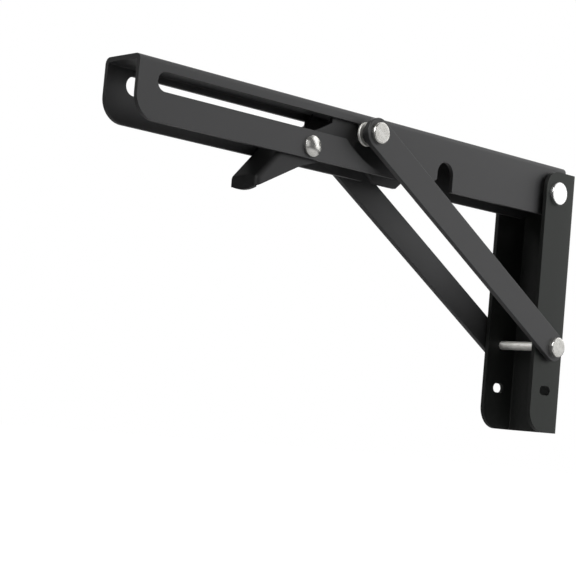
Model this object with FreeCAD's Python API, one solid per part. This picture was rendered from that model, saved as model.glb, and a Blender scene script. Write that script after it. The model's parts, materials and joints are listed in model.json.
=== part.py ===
import FreeCAD, Part
import math
import os

# Folding drop leaf table bracket, in millimetres.
# The wall face is the plane X = 0, the arm reaches along -X and +Z is up.
# The origin is the centre of the wall channel's back face.
# Left is +Y and right is -Y, as seen by a person who faces the wall.

# Wall channel
wall_height = 141.0
wall_depth = 25.1
wall_sheet = 2.3
wall_bend = 0.8
wall_top_corner = 9.0
wall_foot_corner = 12.0
wall_screw_count = 3
wall_screw_spacing = 40.0
cable_hole_above_foot = 22.4
cable_hole_depth = 13.9
cable_hole_length = 8.6
cable_hole_height = 5.0

# Arm channel
arm_reach = 300.0
arm_width = 24.9
arm_height = 28.0
arm_sheet = 2.2
arm_bend = 0.7
arm_end_corner = 11.0
arm_rear_depth = 4.0
top_screw_count = 3
top_screw_spacing = 90.0
top_screw_centre = 150.0
screw_hole_radius = 2.5

# Main pivot, where the arm hangs in the wall channel
main_pivot_above_foot = 129.1
main_pivot_depth = 16.2
main_pivot_below_top = 16.0
main_pin_radius = 3.0
main_head_radius = 6.1
pivot_washer_radius = 6.0
pivot_washer_thickness = 2.4
rear_swing_gap = 0.5

# Slots in the arm's cheeks, and the open mouth at their inner end
slot_below_top = 9.95
slot_height = 8.8
slot_end_margin = 10.7
mouth_lip_radius = 55.0
mouth_lip_tip = 0.4
mouth_lip_from_pin = 23.1
mouth_low_from_pin = 35.2
mouth_high_from_pin = 7.7
mouth_corner = 8.0

# Struts
strut_half_width = 7.5
strut_thickness = 3.0
strut_edge_round = 0.4
slide_pin_depth = 160.6
slide_pin_radius = 3.0
slide_head_radius = 5.2
slide_washer_radius = 5.9
slide_washer_thickness = 1.5
slide_spacer_radius = 4.3
slide_spacer_length = 4.5
slot_play = 0.3

# Foot pivot
foot_pivot_above_foot = 46.0
foot_pivot_depth = 13.6
foot_axle_radius = 2.4
foot_shank_radius = 3.0
foot_head_radius = 5.3
foot_head_thickness = 2.7
foot_washer_radius = 5.0
open_pivot_gap = 0.3

# Notch in the arm's cheeks that passes over the foot axle when the arm is down
notch_width = 11.8
notch_play = 0.45
notch_crown_above_axle = 5.1
notch_flare_width = 6.1
notch_flare_height = 5.3

# Release lever, a folded U that hangs between the arm's cheeks
lever_sheet = 2.0
lever_bend = 0.6
lever_side_gap = 0.35
lever_pivot_from_pin = 35.1
lever_pivot_below_top = 22.1
lever_pin_radius = 2.4
lever_head_radius = 5.0
lever_head_rim = 1.4
lever_head_dome = 1.4
lever_nose_gap = 0.4
lever_nose_top_gap = 1.9
lever_nose_height = 10.6
lever_nose_back_round = 2.5
lever_nose_top_round = 1.2
lever_nose_low_round = 2.0
lever_tip_bulge = 1.2
tab_band = 6.0
tab_knee_round = 3.0

# Corners of the lever's side view, as offsets from its pivot, the last five with their radius
tab_low = (-29.5, -23.5)
tab_knee = (-29.6, -18.5)
tab_end = (-11.8, 1.3)
back_knee = (7.0, 10.1, 14.0)
back_step = (14.5, 14.1, 1.5)
throat = (18.5, -2.4, 8.0)
belly_rise = (7.0, -6.2, 8.0)
belly = (-3.7, -9.9, 30.0)

# Return spring of the lever
spring_wire_radius = 0.6
spring_coil_gap = 0.4
spring_turns = 4
spring_turn_gap = 0.12
spring_seat_gap = 0.3
spring_up_leg_angle = 64.0
spring_web_leg_length = 17.0

# Shared clearances and sizes, and how far a cutter reaches past what it cuts
running_gap = 0.05
side_play = 0.05
head_thickness = 2.0
head_round = 0.5
cut_margin = 1.0
smallest = 1e-6

# Places worked out from the sizes above
wall_foot = -wall_height / 2
main_x = -main_pivot_depth
main_z = wall_foot + main_pivot_above_foot
foot_x = -foot_pivot_depth
foot_z = wall_foot + foot_pivot_above_foot
arm_top = main_z + main_pivot_below_top
arm_bottom = arm_top - arm_height
arm_outer = arm_width / 2
arm_inner = arm_outer - arm_sheet
wall_inner = arm_outer + 2 * side_play + pivot_washer_thickness
wall_outer = wall_inner + wall_sheet
slide_x = -slide_pin_depth
slide_z = arm_top - slot_below_top
washer_side = arm_outer + side_play
spacer_side = washer_side + slide_washer_thickness
strut_inner = spacer_side + slide_spacer_length + side_play
strut_outer = strut_inner + strut_thickness
lever_x = slide_x - lever_pivot_from_pin
lever_z = arm_top - lever_pivot_below_top
lever_outer = arm_inner - lever_side_gap
lever_inner = lever_outer - lever_sheet
lever_bend_reach = 2 * lever_bend + lever_sheet
through = 2 * strut_outer

vec = FreeCAD.Vector
sides = {"left": 1, "right": -1}


# Shapes shared by the pieces

def outline(corners, place):
    """Closed wire through corners (u, v, radius), with a tangent arc at each rounded corner."""
    points = [vec(u, v, 0) for u, v, radius in corners]
    edges = []
    arriving = []
    leaving = []
    for i, (u, v, radius) in enumerate(corners):
        back = (points[i - 1] - points[i]).normalize()
        ahead = (points[(i + 1) % len(points)] - points[i]).normalize()
        half = back.getAngle(ahead) / 2
        reach = radius / math.tan(half)
        arriving.append(points[i] + back * reach)
        leaving.append(points[i] + ahead * reach)
        if radius > 0:
            crest = points[i] + (back + ahead).normalize() * (radius / math.sin(half) - radius)
            turn = [place(p.x, p.y) for p in (arriving[-1], crest, leaving[-1])]
            edges.append(Part.Arc(*turn).toShape())
    for start, end in zip(leaving, arriving[1:] + arriving[:1]):
        if (end - start).Length > smallest:
            edges.append(Part.makeLine(place(start.x, start.y), place(end.x, end.y)))
    return Part.Wire(Part.__sortEdges__(edges))


def side_plate(corners, y_low, y_high):
    """Plate that lies in the XZ plane, from y_low to y_high."""
    wire = outline(corners, lambda x, z: vec(x, y_low, z))
    return Part.Face(wire).extrude(vec(0, y_high - y_low, 0))


def rod(x, z, radius, y_low, y_high):
    """Cylinder along Y."""
    return Part.makeCylinder(radius, y_high - y_low, vec(x, y_low, z), vec(0, 1, 0))


def side_rod(x, z, radius, side, inner, outer):
    """Cylinder along Y on one side of the mid plane, from inner to outer."""
    return Part.makeCylinder(radius, outer - inner, vec(x, side * inner, z), vec(0, side, 0))


def ring(x, z, radius, hole_radius, side, inner, outer):
    """Washer or spacer on one side of the mid plane."""
    return side_rod(x, z, radius, side, inner, outer).cut(side_rod(x, z, hole_radius, side, inner, outer))


def flat_head(x, z, radius, side, seat, thickness):
    """Rivet head that stands on the plane seat, with a rounded rim."""
    head = side_rod(x, z, radius, side, seat, seat + thickness)
    rim = [e for e in head.Edges if len(e.Vertexes) == 1 and abs(e.Vertexes[0].Y) > seat + thickness / 2]
    return head.makeFillet(head_round, rim)


def section(width, depth, sheet, bend, place):
    """U section with its open side at v = -depth, its back on v = 0 and round bends."""
    half = width / 2
    corners = [(-half, -depth, 0), (-half, 0, bend + sheet), (half, 0, bend + sheet), (half, -depth, 0)]
    corners += [(half - sheet, -depth, 0), (half - sheet, -sheet, bend)]
    corners += [(sheet - half, -sheet, bend), (sheet - half, -depth, 0)]
    return Part.Face(outline(corners, place))


def obround(x, z, length, height):
    """Cutter for a short slot along X with round ends, right through both sides."""
    r = height / 2
    reach = length / 2
    corners = [(x - reach, z - r, r), (x - reach, z + r, r), (x + reach, z + r, r), (x + reach, z - r, r)]
    return side_plate(corners, -through, through)


def save(name, shape):
    """Writes one sub-part as a STEP file."""
    shape.exportStep("parts/" + name + ".step")


# Wall channel

def wall_channel():
    """Folded U channel that is screwed to the wall."""
    foot = section(2 * wall_outer, wall_depth, wall_sheet, wall_bend, lambda u, v: vec(v, u, wall_foot))
    channel = foot.extrude(vec(0, 0, wall_height))
    wall_top = wall_foot + wall_height
    silhouette = [(-wall_depth, wall_foot, wall_foot_corner), (-wall_depth, wall_top, wall_top_corner)]
    silhouette += [(0, wall_top, 0), (0, wall_foot, 0)]
    channel = channel.common(side_plate(silhouette, -through, through))
    holes = [rod(main_x, main_z, main_pin_radius + running_gap, -through, through)]
    holes.append(rod(foot_x, foot_z, foot_axle_radius + running_gap, -through, through))
    cable_z = wall_foot + cable_hole_above_foot
    holes.append(obround(-cable_hole_depth, cable_z, cable_hole_length, cable_hole_height))
    for i in range(wall_screw_count):
        z = (i - (wall_screw_count - 1) / 2) * wall_screw_spacing
        holes.append(Part.makeCylinder(screw_hole_radius, wall_depth, vec(0, 0, z), vec(-1, 0, 0)))
    return channel.cut(holes)


# Arm channel

def arm_blank():
    """Folded U channel with its web on top, a rounded free end and a rear end that swings clear."""
    end = section(arm_width, arm_height, arm_sheet, arm_bend, lambda u, v: vec(-arm_reach, u, arm_top + v))
    channel = end.extrude(vec(arm_reach - arm_rear_depth, 0, 0))
    silhouette = [(-arm_reach, arm_bottom, arm_end_corner), (-arm_reach, arm_top, 0)]
    silhouette += [(-arm_rear_depth, arm_top, 0), (-arm_rear_depth, arm_bottom, 0)]
    channel = channel.common(side_plate(silhouette, -through, through))
    swing = main_pivot_depth - wall_sheet - rear_swing_gap
    heel = side_plate([(main_x, arm_bottom, 0), (main_x, main_z, 0), (0, main_z, 0), (0, arm_bottom, 0)],
                      -through, through)
    return channel.cut(heel.cut(rod(main_x, main_z, swing, -through, through)))


def slot_cutter():
    """Long slot along both cheeks, round at the free end and open into the mouth."""
    r = slot_height / 2
    left = slot_end_margin - arm_reach
    right = slide_x
    corners = [(left, slide_z - r, r), (left, slide_z + r, r)]
    corners += [(right, slide_z + r, 0), (right, slide_z - r, 0)]
    return side_plate(corners, -through, through)


def mouth_cutter():
    """Mouth below the slot: a long arc that thins the lip on one side and a slanted side on the other."""
    slot_top = slide_z + slot_height / 2
    slot_low = slide_z - slot_height / 2
    lip_end = slide_x + mouth_lip_from_pin
    low_end = slide_x + mouth_low_from_pin
    high_end = slide_x + mouth_high_from_pin
    slant = (high_end - low_end) / (slot_top - arm_bottom)
    below = arm_bottom - cut_margin
    corners = [(lip_end, below, 0), (low_end - slant * cut_margin, below, 0)]
    corners += [(high_end, slot_top, mouth_corner), (slide_x, slot_top, 0)]
    corners += [(slide_x, slot_low, 0), (lip_end, slot_low, 0)]
    centre_z = arm_bottom + mouth_lip_tip + mouth_lip_radius
    lip_reach = math.sqrt(mouth_lip_radius ** 2 - (centre_z - slot_low) ** 2)
    lip = [(lip_end - lip_reach, slot_low, 0), (lip_end, slot_low, 0), (lip_end, arm_bottom, 0)]
    lip += [(lip_end - lip_reach, arm_bottom, 0)]
    lip_side = side_plate(lip, -through, through)
    lip_side = lip_side.common(rod(lip_end, centre_z, mouth_lip_radius, -through, through))
    return [side_plate(corners, -through, through), lip_side]


def notch_cutter():
    """Notch, open below, that follows the foot axle's path in the arm's own frame."""
    swing = math.hypot(foot_x - main_x, foot_z - main_z)
    drop = main_z - arm_bottom
    right = main_x - math.sqrt(swing ** 2 - drop ** 2) + foot_axle_radius + notch_play
    left = right - notch_width
    crown = main_z - (foot_x - main_x) + notch_crown_above_axle
    r = notch_width / 2
    below = arm_bottom - cut_margin
    corners = [(left, below, 0), (left, crown, r), (right, crown, r), (right, below, 0)]
    flare_end = left - notch_flare_width
    flare = [(left, arm_bottom + notch_flare_height, 0), (left, below, 0)]
    flare += [(flare_end, below, 0), (flare_end, arm_bottom, 0)]
    return [side_plate(corners, -through, through), side_plate(flare, -through, through)]


def arm_channel():
    """Arm with its slots, mouths, notches, pivot holes and table top screw holes."""
    cutters = [slot_cutter()] + mouth_cutter() + notch_cutter()
    cutters.append(rod(main_x, main_z, main_pin_radius + running_gap, -through, through))
    cutters.append(rod(lever_x, lever_z, lever_pin_radius + running_gap, -through, through))
    for i in range(top_screw_count):
        x = (i - (top_screw_count - 1) / 2) * top_screw_spacing - top_screw_centre
        cutters.append(Part.makeCylinder(screw_hole_radius, arm_height, vec(x, 0, arm_top - arm_height / 2)))
    return arm_blank().cut(cutters)


# Struts

def strut(side):
    """Flat bar with round ends, from the slide pin down to the foot pivot."""
    along = vec(foot_x - slide_x, 0, foot_z - slide_z)
    angle = math.degrees(math.atan2(along.z, along.x))
    half = strut_half_width
    reach = along.Length + half
    y_low = min(side * strut_inner, side * strut_outer)
    bar = side_plate([(-half, -half, half), (-half, half, half), (reach, half, half), (reach, -half, half)],
                     y_low, y_low + strut_thickness)
    rims = [e for e in bar.Edges if abs(e.Vertexes[0].Y - e.Vertexes[-1].Y) < strut_thickness / 2]
    bar = bar.makeFillet(strut_edge_round, rims)
    bar.rotate(vec(0, 0, 0), vec(0, 1, 0), -angle)
    bar.translate(vec(slide_x, 0, slide_z))
    pin_hole = rod(slide_x, slide_z, slide_pin_radius + running_gap, -through, through)
    foot_hole = rod(foot_x, foot_z, foot_shank_radius + running_gap, -through, through)
    return bar.cut([pin_hole, foot_hole])


# Main pivot

def main_pivot_rivet():
    """Rivet through both flanges of the wall channel and both cheeks of the arm."""
    shank = rod(main_x, main_z, main_pin_radius, -wall_outer, wall_outer)
    for side in sides.values():
        shank = shank.fuse(flat_head(main_x, main_z, main_head_radius, side, wall_outer, head_thickness))
    return shank.removeSplitter()


def main_pivot_washer(side):
    """Thin washer between the arm's cheek and the wall channel's flange."""
    inner = arm_outer + side_play
    return ring(main_x, main_z, pivot_washer_radius, main_pin_radius + running_gap, side, inner,
                inner + pivot_washer_thickness)


# Foot pivot

def foot_axle():
    """Cross axle through the wall channel's flanges, which carries the struts' feet."""
    reach = strut_inner - open_pivot_gap
    return rod(foot_x, foot_z, foot_axle_radius, -reach, reach)


def foot_washer(side):
    """Spacing washer between the wall channel and the strut."""
    return ring(foot_x, foot_z, foot_washer_radius, foot_axle_radius + running_gap, side, wall_outer,
                strut_inner - open_pivot_gap)


def foot_rivet(side):
    """Headed rivet in the foot end of a strut."""
    shank = side_rod(foot_x, foot_z, foot_shank_radius, side, strut_inner, strut_outer)
    head = flat_head(foot_x, foot_z, foot_head_radius, side, strut_outer, foot_head_thickness)
    return shank.fuse(head).removeSplitter()


# Slide pins

def slide_pin(side):
    """Headed pin with a shoulder that runs in the arm's slot and a shank that the strut turns on."""
    shoulder_radius = slot_height / 2 - slot_play
    shoulder = side_rod(slide_x, slide_z, shoulder_radius, side, arm_inner, washer_side)
    shank = side_rod(slide_x, slide_z, slide_pin_radius, side, washer_side, strut_outer + side_play)
    head = flat_head(slide_x, slide_z, slide_head_radius, side, strut_outer + side_play, head_thickness)
    return shoulder.fuse([shank, head]).removeSplitter()


def slide_washer(side):
    """Bright washer that bears on the arm's cheek beside the slot."""
    return ring(slide_x, slide_z, slide_washer_radius, slide_pin_radius + running_gap, side, washer_side,
                spacer_side)


def slide_spacer(side):
    """Sleeve that keeps the strut clear of the wall channel."""
    return ring(slide_x, slide_z, slide_spacer_radius, slide_pin_radius + running_gap, side, spacer_side,
                spacer_side + slide_spacer_length)


# Release lever

def lever_place(corner):
    """Turns an offset from the lever's pivot, with its radius, into an outline corner."""
    return (lever_x + corner[0], lever_z + corner[1], corner[2])


def lever_silhouette(y_low, y_high):
    """Side view of the whole lever, from the finger tab to the nose that locks the slide pin."""
    nose_x = lever_pivot_from_pin - slide_pin_radius - lever_nose_gap
    nose_top = lever_pivot_below_top - arm_sheet - lever_nose_top_gap
    nose = [(back_step[0], nose_top, lever_nose_back_round), (nose_x, nose_top, lever_nose_top_round)]
    nose.append((nose_x, nose_top - lever_nose_height, lever_nose_low_round))
    corners = [tab_low + (0.0,), tab_knee + (tab_knee_round,), tab_end + (0.0,), back_knee, back_step]
    corners += nose + [throat, belly_rise, belly]
    return side_plate([lever_place(c) for c in corners], y_low, y_high)


def back_band(near, far, low_extra, high_extra, y_low, y_high):
    """Band that follows the tab's back, between two distances from it, with its ends drawn out."""
    low = vec(*tab_low, 0)
    knee = vec(*tab_knee, 0)
    end = vec(*tab_end, 0)
    first = (knee - low).normalize()
    second = (end - knee).normalize()
    first_in = vec(first.y, -first.x, 0)
    second_in = vec(second.y, -second.x, 0)
    mitre = (first_in + second_in) * (1 / (1 + first_in.dot(second_in)))
    corners = []
    for shift in (near, far):
        line = [low + first_in * shift - first * low_extra, knee + mitre * shift]
        line.append(end + second_in * shift + second * high_extra)
        round_off = max(tab_knee_round - shift, 0.0)
        points = [(p.x, p.y, radius) for p, radius in zip(line, (0.0, round_off, 0.0))]
        corners += points if shift == near else points[::-1]
    return side_plate([lever_place(c) for c in corners], y_low, y_high)


def round_long_edges(block, side_y, radius):
    """Rounds the edges of a band that run along the tab's back on both sides."""
    back = back_band(0.0, lever_sheet, 0.0, 0.0, -lever_outer, lever_outer)
    chosen = []
    for e in block.Edges:
        middle = e.valueAt((e.FirstParameter + e.LastParameter) / 2)
        along = abs(e.Vertexes[0].Y - e.Vertexes[-1].Y) < smallest
        near_back = back.distToShape(Part.Vertex(middle))[0] < smallest
        if along and near_back and abs(abs(middle.y) - side_y) < smallest:
            chosen.append(e)
    return block.makeFillet(radius, chosen)


def release_lever():
    """Folded U: a bent web for the finger and two cheeks that turn on the lever rivet."""
    web = back_band(0.0, tab_band, 0.0, 0.0, -lever_outer, lever_outer)
    web = round_long_edges(web, lever_outer, lever_bend + lever_sheet)
    hollow = back_band(lever_sheet, tab_band + cut_margin, cut_margin, cut_margin, -lever_inner, lever_inner)
    web = web.cut(round_long_edges(hollow, lever_inner, lever_bend))
    cheeks = []
    for side in sides.values():
        y_low = min(side * lever_inner, side * lever_outer)
        cheek = lever_silhouette(y_low, y_low + lever_sheet)
        set_back = back_band(-cut_margin, lever_bend_reach, cut_margin, 0.0, -lever_outer, lever_outer)
        cheeks.append(cheek.cut(set_back))
    lever = web.fuse(cheeks).common(lever_silhouette(-lever_outer, lever_outer))
    half = lever_inner - lever_bend
    tip = [vec(lever_x + tab_low[0], y, lever_z + tab_low[1] + rise) for y, rise in
           ((-half, 0), (0, -lever_tip_bulge), (half, 0), (half, lever_sheet), (-half, lever_sheet))]
    sides_and_top = [Part.makeLine(tip[i], tip[(i + 1) % 5]) for i in (2, 3, 4)]
    bulge = Part.Face(Part.Wire([Part.Arc(*tip[:3]).toShape()] + sides_and_top))
    lever = lever.fuse(bulge.extrude(vec(lever_sheet, 0, 0))).removeSplitter()
    return lever.cut(rod(lever_x, lever_z, lever_pin_radius + running_gap, -through, through))


def lever_rivet():
    """Rivet that carries the lever in the arm's cheeks, with a low dome outside each cheek."""
    rivet = rod(lever_x, lever_z, lever_pin_radius, -arm_outer, arm_outer)
    dome_radius = (lever_head_radius ** 2 + lever_head_dome ** 2) / (2 * lever_head_dome)
    rim = arm_outer + lever_head_rim
    top = rim + lever_head_dome
    parts = []
    for side in sides.values():
        parts.append(side_rod(lever_x, lever_z, lever_head_radius, side, arm_outer, rim))
        ball = Part.makeSphere(dome_radius, vec(lever_x, side * (top - dome_radius), lever_z))
        parts.append(side_rod(lever_x, lever_z, lever_head_radius, side, rim, top).common(ball))
    return rivet.fuse(parts).removeSplitter()


# Return spring

def spring_leg(start, direction, length):
    """Straight end of the spring's wire, with a round elbow where it leaves the coil."""
    elbow = Part.makeSphere(spring_wire_radius, start)
    return Part.makeCylinder(spring_wire_radius, length, start, direction).fuse(elbow)


def lever_spring():
    """Torsion spring round the lever rivet: one leg under the arm's web, one over the lever's web."""
    mean = lever_pin_radius + spring_coil_gap + spring_wire_radius
    pitch = 2 * spring_wire_radius + spring_turn_gap
    up = math.radians(spring_up_leg_angle)
    start_angle = up - math.pi / 2
    seat = lever_pivot_below_top - arm_sheet - spring_seat_gap - spring_wire_radius
    up_start = vec(math.cos(start_angle), 0, math.sin(start_angle)) * mean
    up_length = (seat - up_start.z) / math.sin(up)
    clear = mean - spring_wire_radius - spring_seat_gap
    reach = math.hypot(*tab_end)
    lean = math.asin(clear / reach) - math.asin(tab_end[1] / reach)
    web_start = vec(-math.sin(lean), 0, math.cos(lean)) * mean
    turns = spring_turns + (math.pi / 2 + lean - start_angle) / (2 * math.pi)
    width = pitch * turns
    helix = Part.makeHelix(pitch, width, mean)
    wire_end = Part.Wire(Part.makeCircle(spring_wire_radius, vec(mean, 0, 0), vec(0, 1, 0)))
    coil = Part.Wire(helix).makePipeShell([wire_end], True, True)
    coil.rotate(vec(0, 0, 0), vec(1, 0, 0), 90)
    coil.rotate(vec(0, 0, 0), vec(0, 1, 0), -math.degrees(start_angle))
    coil.translate(vec(0, width / 2, 0))
    up_leg = spring_leg(up_start + vec(0, width / 2, 0), vec(math.cos(up), 0, math.sin(up)), up_length)
    web_way = vec(-math.cos(lean), 0, -math.sin(lean))
    web_leg = spring_leg(web_start - vec(0, width / 2, 0), web_way, spring_web_leg_length)
    spring = coil.fuse([up_leg, web_leg])
    spring.translate(vec(lever_x, 0, lever_z))
    return spring


if __name__ == "__main__":
    os.makedirs("parts", exist_ok=True)
    save("wall_channel", wall_channel())
    save("arm_channel", arm_channel())
    save("main_pivot_rivet", main_pivot_rivet())
    save("foot_axle", foot_axle())
    save("release_lever", release_lever())
    save("lever_rivet", lever_rivet())
    save("lever_spring", lever_spring())
    for name, side in sides.items():
        save("strut_" + name, strut(side))
        save("main_pivot_washer_" + name, main_pivot_washer(side))
        save("foot_washer_" + name, foot_washer(side))
        save("foot_rivet_" + name, foot_rivet(side))
        save("slide_pin_" + name, slide_pin(side))
        save("slide_washer_" + name, slide_washer(side))
        save("slide_spacer_" + name, slide_spacer(side))
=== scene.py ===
import json
import math

import bmesh
import bpy
import numpy as np
from mathutils import Matrix, Vector


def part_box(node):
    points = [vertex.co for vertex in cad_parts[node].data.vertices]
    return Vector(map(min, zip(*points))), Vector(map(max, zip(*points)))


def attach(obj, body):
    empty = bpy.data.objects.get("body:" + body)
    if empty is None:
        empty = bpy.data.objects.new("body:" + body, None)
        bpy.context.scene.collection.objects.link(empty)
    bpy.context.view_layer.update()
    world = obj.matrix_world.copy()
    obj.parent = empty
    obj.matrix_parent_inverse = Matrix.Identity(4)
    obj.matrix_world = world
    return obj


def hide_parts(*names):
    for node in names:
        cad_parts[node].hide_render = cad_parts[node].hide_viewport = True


# Folding drop leaf bracket: satin black folded sheet, bright rivets, dark sleeves.
# Everything is in metres, in the bracket's own frame: the wall is X = 0, the arm reaches along -X, +Z is up.

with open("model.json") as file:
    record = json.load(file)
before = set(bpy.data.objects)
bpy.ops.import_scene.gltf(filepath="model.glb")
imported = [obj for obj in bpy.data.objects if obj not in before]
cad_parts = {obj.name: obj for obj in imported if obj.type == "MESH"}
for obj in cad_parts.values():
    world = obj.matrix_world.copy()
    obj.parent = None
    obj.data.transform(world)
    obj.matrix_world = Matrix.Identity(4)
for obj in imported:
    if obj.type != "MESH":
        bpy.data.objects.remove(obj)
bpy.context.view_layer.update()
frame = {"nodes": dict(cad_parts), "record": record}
nodes = frame["nodes"]
bodyOf = {node: body for body, members in frame["record"]["behaviour"]["bodies"].items() for node in members}


# Shader sums are written as plain sums: 1 - mask adds its own Math node.
class Field:
    def __init__(self, finish, socket):
        self.finish = finish
        self.socket = socket

    def combine(self, operation, first, second):
        return self.finish.node("Math", {"operation": operation}, {0: first, 1: second})

    def __add__(self, other):
        return self.combine("ADD", self, other)

    def __sub__(self, other):
        return self.combine("SUBTRACT", self, other)

    def __rsub__(self, other):
        return self.combine("SUBTRACT", other, self)

    def __mul__(self, other):
        return self.combine("MULTIPLY", self, other)

    def __pow__(self, other):
        return self.combine("POWER", self, other)

    __radd__ = __add__
    __rmul__ = __mul__


# A material's or the world's node tree.
class Finish:
    def __init__(self, block):
        self.block = block
        block.use_nodes = True
        self.tree = block.node_tree
        self.tree.nodes.clear()

    # Any node: its type, its settings, the values or links of its sockets, and which output is wanted.
    def node(self, kind, settings, sockets, output=0):
        made = self.tree.nodes.new("ShaderNode" + kind)
        for key, value in settings.items():
            if key == "stops":
                for i, (place, shade) in enumerate(value):
                    stop = made.color_ramp.elements[i] if i < 2 else made.color_ramp.elements.new(place)
                    stop.position = place
                    stop.color = (shade, shade, shade, 1)
            else:
                setattr(made, key, value)
        for key, value in sockets.items():
            if isinstance(value, Field):
                self.tree.links.new(value.socket, made.inputs[key])
            else:
                made.inputs[key].default_value = value
        return Field(self, made.outputs[output] if made.outputs else None)

    # Noise of a given grain size in metres, 0 to 1, stretched along any axis by a grain triple.
    def noise(self, grain, detail=2.0, centre=(0, 0, 0)):
        grains = grain if isinstance(grain, tuple) else (grain,) * 3
        place = self.node("TexCoord", {}, {}, "Object")
        scaled = self.node("Mapping", {"vector_type": "TEXTURE"},
                           {"Vector": place, "Location": centre, "Scale": grains})
        return self.node("TexNoise", {}, {"Vector": scaled, "Scale": 1.0, "Detail": detail}, "Fac")

    # Distance in metres from a line along Y through centre.
    def radiusFrom(self, centre):
        place = self.node("TexCoord", {}, {}, "Object")
        parts = self.node("SeparateXYZ", {}, {"Vector": place})
        x = Field(self, parts.socket.node.outputs["X"]) - centre[0]
        z = Field(self, parts.socket.node.outputs["Z"]) - centre[2]
        return (x * x + z * z) ** 0.5

    # Each shade is a colour triple or another field.
    def blend(self, amount, first, second):
        first, second = (shade if isinstance(shade, Field) else (*shade, 1) for shade in (first, second))
        return self.node("Mix", {"data_type": "RGBA"}, {"Factor": amount, "A": first, "B": second}, "Result")

    # A value through straight stops (place, shade).
    def ramp(self, value, *stops):
        return self.node("ValToRGB", {"stops": stops}, {"Fac": value})

    # 1 on outer and inner edges within reach metres, 0 on flats: how far the rounded normal leaves the true one.
    # The stops are cosines of the angle between the two normals.
    def edges(self, reach, *stops):
        rounded = self.node("Bevel", {"samples": 4}, {"Radius": reach})
        true = self.node("NewGeometry", {}, {}, "Normal")
        turn = self.node("VectorMath", {"operation": "DOT_PRODUCT"}, {0: rounded, 1: true}, "Value")
        return self.ramp(turn, *stops)

    def bump(self, height, depth, under=None):
        sockets = {"Height": height, "Strength": 1.0, "Distance": depth}
        if under is not None:
            sockets["Normal"] = under
        return self.node("Bump", {}, sockets)

    def surface(self, sockets):
        shader = self.node("BsdfPrincipled", {}, sockets)
        self.node("OutputMaterial", {}, {"Surface": shader})
        return self.block


paint = {
    "deep": (0.0460, 0.0460, 0.0468),    # where the coat is thick
    "thin": (0.0520, 0.0520, 0.0530),
    "worn": (0.060, 0.059, 0.058),       # along rubbed edges
    "wornReach": 0.00045,
    "wornStops": ((0.78, 1), (0.99, 0)),
    "wornShare": 0.35,
    "wornPolish": 0.08,                  # how much smoother a rubbed edge is
    "scuffGrain": 0.0045,
    "scuffStops": ((0.42, 0), (0.68, 1)),
    "roughness": (0.43, 0.53),
    "roughShares": (0.7, 0.3),           # of the cloud and of the peel
    "cloudGrain": 0.035,
    "peelGrain": 0.0011,
    "peelDepth": 0.0000035,
    "dustGrain": 0.00022,
    "dustDepth": 0.0000006,
    "gloss": 0.30,
    # Darker coats: the wall channel's own darker, slightly green paint, and on the release lever painted shade for
    # the shade it lies in between the arm's cheeks.
    "toneAndShade": {"wall_channel": (0.62, 0.66, 0.61), "release_lever": (0.70, 0.70, 0.70)},
    "ownGloss": {"wall_channel": 0.15, "release_lever": 0.18},
}


# Satin black coat: cloudy thickness, orange peel, fine dust, and edges rubbed a little lighter. A tone factor darkens
# the whole coat, and on the release lever that darkening is painted shade.
def blackPaint(name, toneAndShade=(1, 1, 1), gloss=paint["gloss"]):
    finish = Finish(bpy.data.materials.new(name))
    cloud = finish.noise(paint["cloudGrain"], 3.0)
    peel = finish.noise(paint["peelGrain"], 2.0)
    dust = finish.noise(paint["dustGrain"], 1.0)
    scuff = finish.noise(paint["scuffGrain"], 4.0)
    deep, thin, worn = (tuple(part * share for part, share in zip(paint[key], toneAndShade))
                        for key in ("deep", "thin", "worn"))
    edge = finish.edges(paint["wornReach"], *paint["wornStops"])
    rubbed = edge * finish.ramp(scuff, *paint["scuffStops"]) * paint["wornShare"]
    low, high = paint["roughness"]
    cloudShare, peelShare = paint["roughShares"]
    return finish.surface({
        "Base Color": finish.blend(rubbed, finish.blend(cloud, deep, thin), worn),
        "Roughness": low + (high - low) * (cloudShare * cloud + peelShare * peel) - paint["wornPolish"] * rubbed,
        "Normal": finish.bump(dust, paint["dustDepth"], finish.bump(peel, paint["peelDepth"])),
        "Specular IOR Level": gloss,
    })


zinc = {
    "bright": (0.88, 0.87, 0.84),
    "dull": (0.74, 0.73, 0.69),
    # The main pivot's rivet gets a whiter copy of the zinc: a painted highlight for the glare on its face.
    "glareWhite": {"bright": (0.97, 0.97, 0.97), "dull": (0.93, 0.93, 0.93)},     # for the main pivot's rivet
    "roughness": (0.20, 0.32),
    "axleRoughness": (0.52, 0.64),      # the axle and the bright washers are plain plated
    "roughShares": (0.6, 0.4),          # of the cloud and of the dents
    "cloudGrain": 0.0026,
    "cloudStops": ((0.35, 0), (0.70, 1)),
    "ringWobble": 0.0003,
    "ringPitch": 0.00060,
    "ringDepth": 0.0000004,
    "pitGrain": 0.0007,
    "pitDepth": 0.0000005,
}


# Plated rivet: faint rings from the forming tool round its own axis, small dents and cloudy plating.
def brightZinc(name, centre, shades, roughness):
    finish = Finish(bpy.data.materials.new(name))
    cloud = finish.noise(zinc["cloudGrain"], 3.0, centre)
    grain = finish.noise(zinc["pitGrain"], 2.0, centre)
    turn = (finish.radiusFrom(centre) + zinc["ringWobble"] * grain) * (2 * math.pi / zinc["ringPitch"])
    rings = finish.node("Math", {"operation": "SINE"}, {0: turn})
    low, high = roughness
    cloudShare, grainShare = zinc["roughShares"]
    return finish.surface({
        "Base Color": finish.blend(finish.ramp(cloud, *zinc["cloudStops"]), shades["bright"], shades["dull"]),
        "Metallic": 1.0,
        "Roughness": low + (high - low) * (cloudShare * cloud + grainShare * grain),
        "Normal": finish.bump(rings, zinc["ringDepth"], finish.bump(grain, zinc["pitDepth"])),
    })


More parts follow.
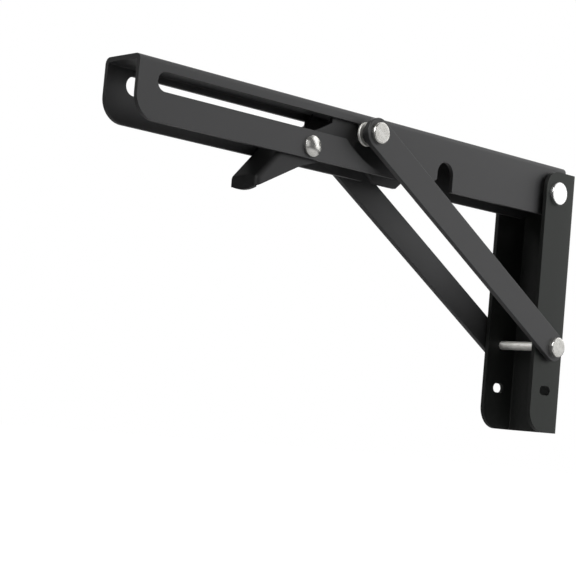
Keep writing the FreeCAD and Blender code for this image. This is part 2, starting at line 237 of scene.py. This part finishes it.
oxide = {
    "dark": (0.030, 0.030, 0.031),
    "worn": (0.085, 0.083, 0.085),
    "metallic": 0.6,
    "roughness": (0.36, 0.52),
    "cloudGrain": 0.0028,
    "cloudStops": ((0.45, 0), (0.75, 1)),
    "turnGrain": (0.004, 0.00022, 0.004),      # the tool marks run round the axis along Y
    "turnDepth": 0.0000008,
}


# Turned sleeve or washer with a blackened skin, worn lighter in patches.
def darkOxide(name, centre):
    finish = Finish(bpy.data.materials.new(name))
    cloud = finish.noise(oxide["cloudGrain"], 4.0, centre)
    turning = finish.noise(oxide["turnGrain"], 1.0, centre)
    low, high = oxide["roughness"]
    return finish.surface({
        "Base Color": finish.blend(finish.ramp(cloud, *oxide["cloudStops"]), oxide["dark"], oxide["worn"]),
        "Metallic": oxide["metallic"],
        "Roughness": low + (high - low) * cloud,
        "Normal": finish.bump(turning, oxide["turnDepth"]),
    })


wire = {
    "steel": (0.070, 0.070, 0.072), "shade": (0.030, 0.030, 0.031), "metallic": 0.8, "roughness": (0.30, 0.42),
    "cloudGrain": 0.0015, "drawnGrain": (0.003, 0.00018, 0.003), "drawnDepth": 0.0000008,
    "radius": 0.0006, "mean": 0.0034, "pitch": 0.00132,
    "turns": 4.3385,
    "start": -26.0,          # degrees round the rivet, from +X towards +Z
    "upLeg": 0.0228,         # up to the arm's web
    "webLeg": 0.0170,        # out over the lever's web
    "alongCoil": 480, "alongLeg": 24, "around": 16,
}


# Drawn steel wire, dull and a little streaky.
def springWire(name):
    finish = Finish(bpy.data.materials.new(name))
    drawn = finish.noise(wire["drawnGrain"], 2.0)
    cloud = finish.noise(wire["cloudGrain"], 3.0)
    low, high = wire["roughness"]
    return finish.surface({
        "Base Color": finish.blend(cloud, wire["steel"], wire["shade"]),
        "Metallic": wire["metallic"],
        "Roughness": low + (high - low) * drawn,
        "Normal": finish.bump(drawn, wire["drawnDepth"]),
    })


def middleOf(node):
    low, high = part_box(node)
    return (low + high) / 2


def dress(piece, material):
    piece.data.materials.clear()
    piece.data.materials.append(material)


# Points closer than this, in metres, are one point.
samePoint = 1e-7


# Puts grids of points, rows by columns, into one closed mesh. The columns of a grid always close on themselves, and
# its rows do when ring is set.
def meshOf(name, shells):
    points, quads, first = [], [], 0
    for grid, ring in shells:
        rows, columns = grid.shape[:2]
        points.append(grid.reshape(-1, 3))
        row = np.arange(rows if ring else rows - 1)[:, None]
        column = np.arange(columns)[None, :]
        nextRow, nextColumn = (row + 1) % rows, (column + 1) % columns
        corners = (row * columns + column, row * columns + nextColumn,
                   nextRow * columns + nextColumn, nextRow * columns + column)
        quads.append(first + np.stack([c.reshape(-1) for c in corners], axis=1))
        first += rows * columns
    points, quads = np.concatenate(points), np.concatenate(quads)
    mesh = bpy.data.meshes.new(name)
    mesh.vertices.add(len(points))
    mesh.vertices.foreach_set("co", points.reshape(-1))
    mesh.loops.add(quads.size)
    mesh.loops.foreach_set("vertex_index", quads.reshape(-1))
    mesh.polygons.add(len(quads))
    mesh.polygons.foreach_set("loop_start", np.arange(0, quads.size, 4))
    mesh.update(calc_edges=True)
    work = bmesh.new()
    work.from_mesh(mesh)
    bmesh.ops.remove_doubles(work, verts=work.verts, dist=samePoint)
    bmesh.ops.recalc_face_normals(work, faces=work.faces)
    work.to_mesh(mesh)
    work.free()
    mesh.validate()
    mesh.shade_smooth()
    return mesh


def addPiece(name, mesh, node):
    piece = bpy.data.objects.new(name, mesh)
    bpy.context.scene.collection.objects.link(piece)
    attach(piece, bodyOf[node])
    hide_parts(node)
    return piece


# Faces round a turned piece, points on a rounded corner, the braces' distance from it, and the round of a corner that
# looks sharp, in metres.
turned = {"around": 72, "arcSteps": 7, "brace": 0.00003, "crease": 0.0001}


# Outline with its corners rounded. Each corner is the parabola that leaves one side and meets the next at the
# round's distance from the corner: (1-t)^2 start + 2t(1-t) corner + t^2 end. Two braces keep the flats flat.
def roundedOutline(corners, closed):
    table = np.array(corners, dtype=float)
    here, rounds = table[:, :2], table[:, 2:3]
    before, after = np.roll(here, 1, axis=0) - here, np.roll(here, -1, axis=0) - here
    before /= np.linalg.norm(before, axis=1, keepdims=True)
    after /= np.linalg.norm(after, axis=1, keepdims=True)
    start, end = here + before * rounds, here + after * rounds
    t = np.linspace(0, 1, turned["arcSteps"])[None, :, None]
    arc = (1 - t) ** 2 * start[:, None] + 2 * t * (1 - t) * here[:, None] + t ** 2 * end[:, None]
    brace = turned["brace"]
    arc = np.concatenate([(start + before * brace)[:, None], arc, (end + after * brace)[:, None]], axis=1)
    if not closed:    # the first and last corners lie on the axis and stay sharp
        return np.concatenate([here[:1], arc[1:-1].reshape(-1, 2), here[-1:]])
    return arc.reshape(-1, 2)


# Turned piece round a line along Y: x = middle + radius cos a, z = middle + radius sin a, y = reach along the axis.
def turnedGrid(middle, outline):
    angle = np.linspace(0, 2 * math.pi, turned["around"], endpoint=False)[None, :]
    radius, reach = outline[:, :1], outline[:, 1:2]
    grid = np.empty((len(outline), turned["around"], 3))
    grid[..., 0] = middle[0] + radius * np.cos(angle)
    grid[..., 1] = reach + 0 * angle
    grid[..., 2] = middle[2] + radius * np.sin(angle)
    return grid


# Corners as (radius, distance from the mid plane, round), all in metres; side is +1 on the left and -1 on the right.
def turnedPiece(node, corners, side=1, ring=False):
    outline = roundedOutline(corners, ring) * np.array([1.0, side])
    mesh = meshOf(node + "_turned", [(turnedGrid(middleOf(node), outline), ring)])
    return addPiece(node + "_turned", mesh, node)


# Sizes of the turned pieces, in metres: radii from the axis, and places along Y from the bracket's mid plane.
mainSizes = {"head": 0.0061, "shank": 0.0030, "seat": 0.01725, "thick": 0.0020, "rim": 0.00030}


def mainRivet():
    r, crease = mainSizes, turned["crease"]
    top = r["seat"] + r["thick"]
    half = [(r["head"], top, r["rim"]), (r["head"], r["seat"], crease), (r["shank"], r["seat"], crease)]
    other = [(radius, -reach, bend) for radius, reach, bend in half[::-1]]
    return turnedPiece("main_pivot_rivet", [(0, top, 0)] + half + other + [(0, -top, 0)])


footSizes = {"head": 0.0053, "shank": 0.0030, "inner": 0.01855, "seat": 0.02155, "thick": 0.0027, "rim": 0.00055,
             "tip": 0.0002}


def footRivet(name, side):
    r, crease = footSizes, turned["crease"]
    top = r["seat"] + r["thick"]
    corners = [(0, top, 0), (r["head"], top, r["rim"]), (r["head"], r["seat"], crease),
               (r["shank"], r["seat"], crease), (r["shank"], r["inner"], r["tip"]), (0, r["inner"], 0)]
    return turnedPiece("foot_rivet_" + name, corners, side)


slideSizes = {"head": 0.0052, "shank": 0.0030, "shoulder": 0.0041, "inner": 0.01025, "step": 0.0125,
              "seat": 0.0216, "thick": 0.0020, "rim": 0.00055, "tip": 0.0003}


def slidePin(name, side):
    r, crease = slideSizes, turned["crease"]
    top = r["seat"] + r["thick"]
    corners = [(0, top, 0), (r["head"], top, r["rim"]), (r["head"], r["seat"], crease),
               (r["shank"], r["seat"], crease), (r["shank"], r["step"], crease),
               (r["shoulder"], r["step"], crease), (r["shoulder"], r["inner"], r["tip"]), (0, r["inner"], 0)]
    return turnedPiece("slide_pin_" + name, corners, side)


leverSizes = {"head": 0.0050, "shank": 0.0024, "seat": 0.01245, "rim": 0.0014, "dome": 0.0014, "domeSteps": 14,
              "edge": 0.00012}


# Rivet with a low dome outside each cheek: the dome is the arc of a ball through its crown and its rim.
def leverRivet():
    r, crease = leverSizes, turned["crease"]
    rim, crown = r["seat"] + r["rim"], r["seat"] + r["rim"] + r["dome"]
    ball = (r["head"] ** 2 + r["dome"] ** 2) / (2 * r["dome"])
    lean = np.linspace(0, math.asin(r["head"] / ball), r["domeSteps"])
    dome = np.stack([ball * np.sin(lean), crown - ball + ball * np.cos(lean)], axis=1)
    below = roundedOutline([(0, rim, 0), (r["head"], rim, r["edge"]), (r["head"], r["seat"], crease),
                            (r["shank"], r["seat"], crease), (0, r["seat"], 0)], False)[2:-2]
    half = np.concatenate([dome[:-1], below[below[:, 1] < rim + samePoint]])
    outline = np.concatenate([half, half[::-1] * np.array([1.0, -1.0])])
    mesh = meshOf("lever_rivet_turned", [(turnedGrid(middleOf("lever_rivet"), outline), False)])
    return addPiece("lever_rivet_turned", mesh, "lever_rivet")


rings = {
    "slide_washer_": {"radius": 0.0059, "hole": 0.00305, "inner": 0.0125, "outer": 0.0140, "round": 0.00035},
    "slide_spacer_": {"radius": 0.0043, "hole": 0.00305, "inner": 0.0140, "outer": 0.0185, "round": 0.00025},
    "main_pivot_washer_": {"radius": 0.0060, "hole": 0.00305, "inner": 0.0125, "outer": 0.0149, "round": 0.00030},
    "foot_washer_": {"radius": 0.0050, "hole": 0.00245, "inner": 0.01725, "outer": 0.01825, "round": 0.00020},
}


def ringPiece(node, r, side):
    corners = [(r["hole"], r["inner"], r["round"] / 2), (r["radius"], r["inner"], r["round"]),
               (r["radius"], r["outer"], r["round"]), (r["hole"], r["outer"], r["round"] / 2)]
    return turnedPiece(node, corners, side, True)


axleSizes = {"radius": 0.0024, "reach": 0.01825, "round": 0.00030}


def footAxle():
    r = axleSizes
    corners = [(0, r["reach"], 0), (r["radius"], r["reach"], r["round"]),
               (r["radius"], -r["reach"], r["round"]), (0, -r["reach"], 0)]
    return turnedPiece("foot_axle", corners)


# Round wire along a path of points: each ring stands square to the path, and the radius shrinks over the last
# wire radius as the square root of 1 - e^2, so that both ends are round.
def wireGrid(path, radius):
    ahead = np.gradient(path, axis=0)
    ahead /= np.linalg.norm(ahead, axis=1, keepdims=True)
    side = np.cross(ahead, [0.0, 1.0, 0.0])
    side /= np.linalg.norm(side, axis=1, keepdims=True)
    up = np.cross(side, ahead)
    step = np.concatenate([[0.0], np.cumsum(np.linalg.norm(np.diff(path, axis=0), axis=1))])
    edge = np.clip(1 - np.minimum(step, step[-1] - step) / radius, 0, 1)
    thick = radius * np.sqrt(1 - edge ** 2)
    angle = np.linspace(0, 2 * math.pi, wire["around"], endpoint=False)
    spread = np.cos(angle)[None, :, None] * side[:, None] + np.sin(angle)[None, :, None] * up[:, None]
    return path[:, None] + thick[:, None, None] * spread


# Points along a straight leg, closer together towards both ends.
def straight(start, way, length):
    tip = 1 - np.cos(np.linspace(0, math.pi / 2, wire["alongLeg"]))
    both = np.unique(np.concatenate([tip / 2, 1 - tip / 2]))
    return np.array(start) + both[:, None] * length * np.array(way)


# Torsion spring: the coil is x = mean cos a, z = mean sin a, y falling by one pitch a turn, and runs on straight
# over the lever's web. The other leg rises to the arm's web.
def leverSpring():
    first = math.radians(wire["start"])
    last = first + 2 * math.pi * wire["turns"]
    half = wire["pitch"] * wire["turns"] / 2
    angle = np.linspace(first, last, wire["alongCoil"])
    coil = np.stack([wire["mean"] * np.cos(angle), np.linspace(half, -half, len(angle)),
                     wire["mean"] * np.sin(angle)], axis=1)
    legOut = straight(coil[-1], (-math.sin(last), 0, math.cos(last)), wire["webLeg"])
    legUp = straight(coil[0], (-math.sin(first), 0, math.cos(first)), wire["upLeg"])
    middle = np.array(list(middleOf("lever_rivet")))
    paths = (np.concatenate([coil, legOut[1:]]), legUp)
    shells = [(wireGrid(middle + path, wire["radius"]), False) for path in paths]
    return addPiece("lever_spring_wire", meshOf("lever_spring_wire", shells), "lever_spring")


# Sheet pieces leave the press with slightly rounded edges, so each is a merged copy of its solid with a fine bevel.
softEdge = {
    "width": {"wall_channel": 0.00030, "arm_channel": 0.00030, "release_lever": 0.00030},
    "segments": 3,
    "samePoint": 2e-6,
    "flatAngle": 0.6,      # degrees: faces that meet at less are one flat
    "sharpAngle": 32,      # degrees: edges that turn by more are bevelled
}


# Slanted side of the mouth in the arm's cheeks, from its top to the arm's lower edge, and how far it is drawn in.
mouth = {
    "top": (-0.1529, 0.06905), "foot": (-0.1254, 0.0466), "band": 0.0020, "rounding": 0.0032, "inward": 0.0032,
    "endSlack": 0.0001, "step": (-0.1375, 0.06025), "stepReach": 0.0003, "stepHeight": 0.0584,
}


# Corners within the band of the slanted line move along -X, and the small step in it moves onto the line.
def drawInMouth(work):
    top, foot = np.array(mouth["top"]), np.array(mouth["foot"])
    length = np.linalg.norm(foot - top)
    way = (foot - top) / length
    places = np.array([corner.co[:] for corner in work.verts])[:, ::2]
    along = (places - top) @ way
    off = (places - top) @ np.array([way[1], -way[0]])
    onLine = (abs(off) < mouth["band"]) & (along > -mouth["rounding"]) & (along < length + mouth["endSlack"])
    onStep = np.linalg.norm(places - np.array(mouth["step"]), axis=1) < mouth["stepReach"]
    corners = list(work.verts)
    for i in np.flatnonzero(onLine):
        corners[i].co.x -= mouth["inward"]
    for i in np.flatnonzero(onStep):
        corners[i].co.z = mouth["stepHeight"]
        corners[i].co.x = top[0] + (mouth["stepHeight"] - top[1]) * way[0] / way[1] - mouth["inward"]
    print("mouth:", onLine.sum(), "corners drawn in,", onStep.sum(), "of the step")


def softened(node, width):
    sharp = math.radians(softEdge["sharpAngle"])
    flat = math.radians(softEdge["flatAngle"])
    mesh = nodes[node].data.copy()
    work = bmesh.new()
    work.from_mesh(mesh)
    bmesh.ops.remove_doubles(work, verts=work.verts, dist=softEdge["samePoint"])
    bmesh.ops.dissolve_limit(work, angle_limit=flat, verts=work.verts, edges=work.edges)
    if node == "arm_channel":
        drawInMouth(work)
    work.to_mesh(mesh)
    work.free()
    mesh.shade_smooth()
    mesh.set_sharp_from_angle(angle=sharp)
    piece = addPiece(node + "_edged", mesh, node)
    bevel = piece.modifiers.new("softEdge", "BEVEL")
    bevel.width = width
    bevel.segments = softEdge["segments"]
    bevel.limit_method = "ANGLE"
    bevel.angle_limit = sharp
    bevel.harden_normals = True
    bevel.use_clamp_overlap = True
    bevel.miter_outer = "MITER_ARC"
    return piece


shown = {node: softened(node, width) for node, width in softEdge["width"].items()}
shown["main_pivot_rivet"] = mainRivet()
shown["lever_rivet"] = leverRivet()
shown["lever_spring"] = leverSpring()
shown["foot_axle"] = footAxle()
for name, side in (("left", 1), ("right", -1)):
    shown["strut_" + name] = nodes["strut_" + name]
    shown["foot_rivet_" + name] = footRivet(name, side)
    shown["slide_pin_" + name] = slidePin(name, side)
    for node, sizes in rings.items():
        shown[node + name] = ringPiece(node + name, sizes, side)
print("pieces:", len(shown), "of", len(nodes), "nodes")


slots = {row["node"]: row["material_slot"] for row in frame["record"]["subparts"]}
sheetPaint = blackPaint("blackPaint")
for node, piece in shown.items():
    # The release lever's darker coat is painted shade; the wall channel's is its own paint.
    if slots[node] == "black_paint" and node in paint["toneAndShade"]:
        dress(piece, blackPaint("paint_" + node, paint["toneAndShade"][node], paint["ownGloss"][node]))
    elif slots[node] == "black_paint":
        dress(piece, sheetPaint)
    elif slots[node] == "bright_zinc":
        # The main pivot's rivet: whiter zinc as a painted highlight.
        shades = zinc["glareWhite"] if node == "main_pivot_rivet" else zinc
        roughness = zinc["axleRoughness"] if node == "foot_axle" or "washer" in node else zinc["roughness"]
        dress(piece, brightZinc("zinc_" + node, tuple(middleOf(node)), shades, roughness))
    elif slots[node] == "dark_oxide":
        dress(piece, darkOxide("oxide_" + node, tuple(middleOf(node))))
    else:
        dress(piece, springWire("springWire"))
print("finishes: ", len(bpy.data.materials), "materials")


studio = {
    "floorHeight": -0.262,
    "floorSize": 16.0,
    "floorTone": 0.36,
    "floorCloud": 0.4,              # metres, with clouds a hundredth darker
    "floorCloudShade": 0.99,
    "floorGlow": {"camera": 1.0, "mirror": 0.05},
    # The glow is dimmed near the bracket: a painted soft darker pool round it, under which its real shadow also
    # shows.
    "floorShades": (0.62, 1.0),     # of the glow, near and far
    "floorFade": (0.8, 1.5),        # metres from the bracket's origin
    "worldGlow": {"camera": 1.0, "mirror": 0.10, "matt": 0.06},
}


# A pale floor well below the bracket, and a world that is white to the camera and dim to everything else.
def buildStudio():
    half = studio["floorSize"] / 2
    z = studio["floorHeight"]
    mesh = bpy.data.meshes.new("floor")
    corners = [(-half, -half, z), (half, -half, z), (half, half, z), (-half, half, z)]
    mesh.from_pydata(corners, [], [(0, 1, 2, 3)])
    floor = bpy.data.objects.new("floor", mesh)
    bpy.context.scene.collection.objects.link(floor)

    finish = Finish(bpy.data.materials.new("paleFloor"))
    glow = studio["floorGlow"]
    seen = finish.node("LightPath", {}, {}, "Is Camera Ray")
    mirrored = finish.node("LightPath", {}, {}, "Is Glossy Ray")
    through = finish.node("LightPath", {}, {}, "Is Transmission Ray")
    cloud = finish.noise(studio["floorCloud"], 2.0)
    pale = (studio["floorTone"],) * 3
    shaded = (studio["floorTone"] * studio["floorCloudShade"],) * 3
    matt = finish.node("BsdfDiffuse", {}, {"Color": finish.blend(cloud, pale, shaded)})
    # The glow is a little dimmer round the bracket, a painted soft darker pool where its shadow also lies, and fully
    # bright further out.
    place = finish.node("TexCoord", {}, {}, "Object")
    away = finish.node("VectorMath", {"operation": "LENGTH"}, {0: place}, "Value")
    span = 2 * studio["floorFade"][1]
    stops = [(far / span, shade) for far, shade in zip(studio["floorFade"], studio["floorShades"])]
    paintedShadePool = finish.ramp(away * (1 / span), *stops)
    strength = (seen + through) * glow["camera"] + mirrored * glow["mirror"]
    light = finish.node("Emission", {}, {"Color": paintedShadePool, "Strength": strength})
    finish.node("OutputMaterial", {}, {"Surface": finish.node("AddShader", {}, {0: matt, 1: light})})
    floor.data.materials.append(finish.block)

    world = bpy.data.worlds.new("studioWorld")
    bpy.context.scene.world = world
    sky = Finish(world)
    glow = studio["worldGlow"]
    seen = sky.node("LightPath", {}, {}, "Is Camera Ray")
    through = sky.node("LightPath", {}, {}, "Is Transmission Ray")
    mirrored = sky.node("LightPath", {}, {}, "Is Glossy Ray")
    direct = seen + through
    strength = direct * glow["camera"] + mirrored * glow["mirror"] + (1 - direct - mirrored) * glow["matt"]
    light = sky.node("Background", {}, {"Color": (1, 1, 1, 1), "Strength": strength})
    sky.node("OutputWorld", {}, {"Surface": light})


# Each lamp stands at an azimuth from -Y towards +X and a height angle, in degrees, and a distance in metres, all seen
# from lampTarget. Matt lamps light surfaces but show in no reflection, and mirror lamps only show in reflections.
lampKeys = ("azimuth", "height", "far", "across", "up", "radiance", "lights")
lamps = {
    "key": (70, 26, 2.6, 2.5, 2.3, 1.3, "both"),
    "leftBox": (-12, 18, 2.2, 0.9, 1.3, 0.6, "mirror"),
    "fill": (27, 13, 1.6, 1.4, 0.9, 6.2, "matt"),
    "glint": (-92, 32, 2.0, 1.3, 1.2, 13.5, "mirror"),
    "back": (135, 35, 2.4, 2.0, 1.4, 1.0, "both"),
    "rear": (148, 34, 1.8, 2.0, 1.0, 3.6, "matt"),
    "top": (120, 80, 1.6, 1.2, 1.0, 1.2, "both"),
}
lampTarget = (-0.15, 0.0, 0.02)


# Radiance times pi times area gives an area lamp's watts.
def buildLamps():
    for name, row in lamps.items():
        lamp = dict(zip(lampKeys, row))
        light = bpy.data.lights.new(name, "AREA")
        light.shape = "RECTANGLE"
        light.size = lamp["across"]
        light.size_y = lamp["up"]
        light.energy = lamp["radiance"] * math.pi * lamp["across"] * lamp["up"]
        turn, rise = math.radians(lamp["azimuth"]), math.radians(lamp["height"])
        away = Vector((math.sin(turn) * math.cos(rise), -math.cos(turn) * math.cos(rise), math.sin(rise)))
        holder = bpy.data.objects.new(name, light)
        holder.location = Vector(lampTarget) + away * lamp["far"]
        holder.rotation_euler = away.to_track_quat("Z", "Y").to_euler()
        holder.visible_camera = False
        holder.visible_glossy = lamp["lights"] != "matt"
        holder.visible_diffuse = lamp["lights"] != "mirror"
        bpy.context.scene.collection.objects.link(holder)


buildStudio()
buildLamps()
print("studio: floor, world and", len(lamps), "lamps")


view = {
    "place": (-0.714660, -0.570985, -0.076178),
    "yaw": 42.5157,     # degrees from +Y towards +X
    "pitch": 4.5884,
    "roll": 5.1751,
    "focal": 1640.17,   # in pixels
    "frame": 576,       # pixels across
    "sensor": 36,       # millimetres across
    "clip": (0.01, 50),
}


# Camera of the photograph: it looks up a little at the bracket from the arm's free end.
def buildCamera():
    yaw, pitch, roll = (math.radians(view[k]) for k in ("yaw", "pitch", "roll"))
    ahead = Vector((math.cos(pitch) * math.sin(yaw), math.cos(pitch) * math.cos(yaw), math.sin(pitch)))
    level = Vector((math.cos(yaw), -math.sin(yaw), 0))
    upright = level.cross(ahead)
    right = math.cos(roll) * level + math.sin(roll) * upright
    up = -math.sin(roll) * level + math.cos(roll) * upright
    lens = bpy.data.cameras.new("photoCamera")
    lens.sensor_width = view["sensor"]
    lens.lens = view["focal"] * view["sensor"] / view["frame"]
    lens.clip_start, lens.clip_end = view["clip"]
    camera = bpy.data.objects.new("photoCamera", lens)
    turn = Matrix((right, up, -ahead)).transposed().to_4x4()
    camera.matrix_world = Matrix.Translation(view["place"]) @ turn
    bpy.context.scene.collection.objects.link(camera)
    bpy.context.scene.camera = camera


buildCamera()
bpy.context.scene.view_settings.view_transform = "Standard"
print("camera: set")
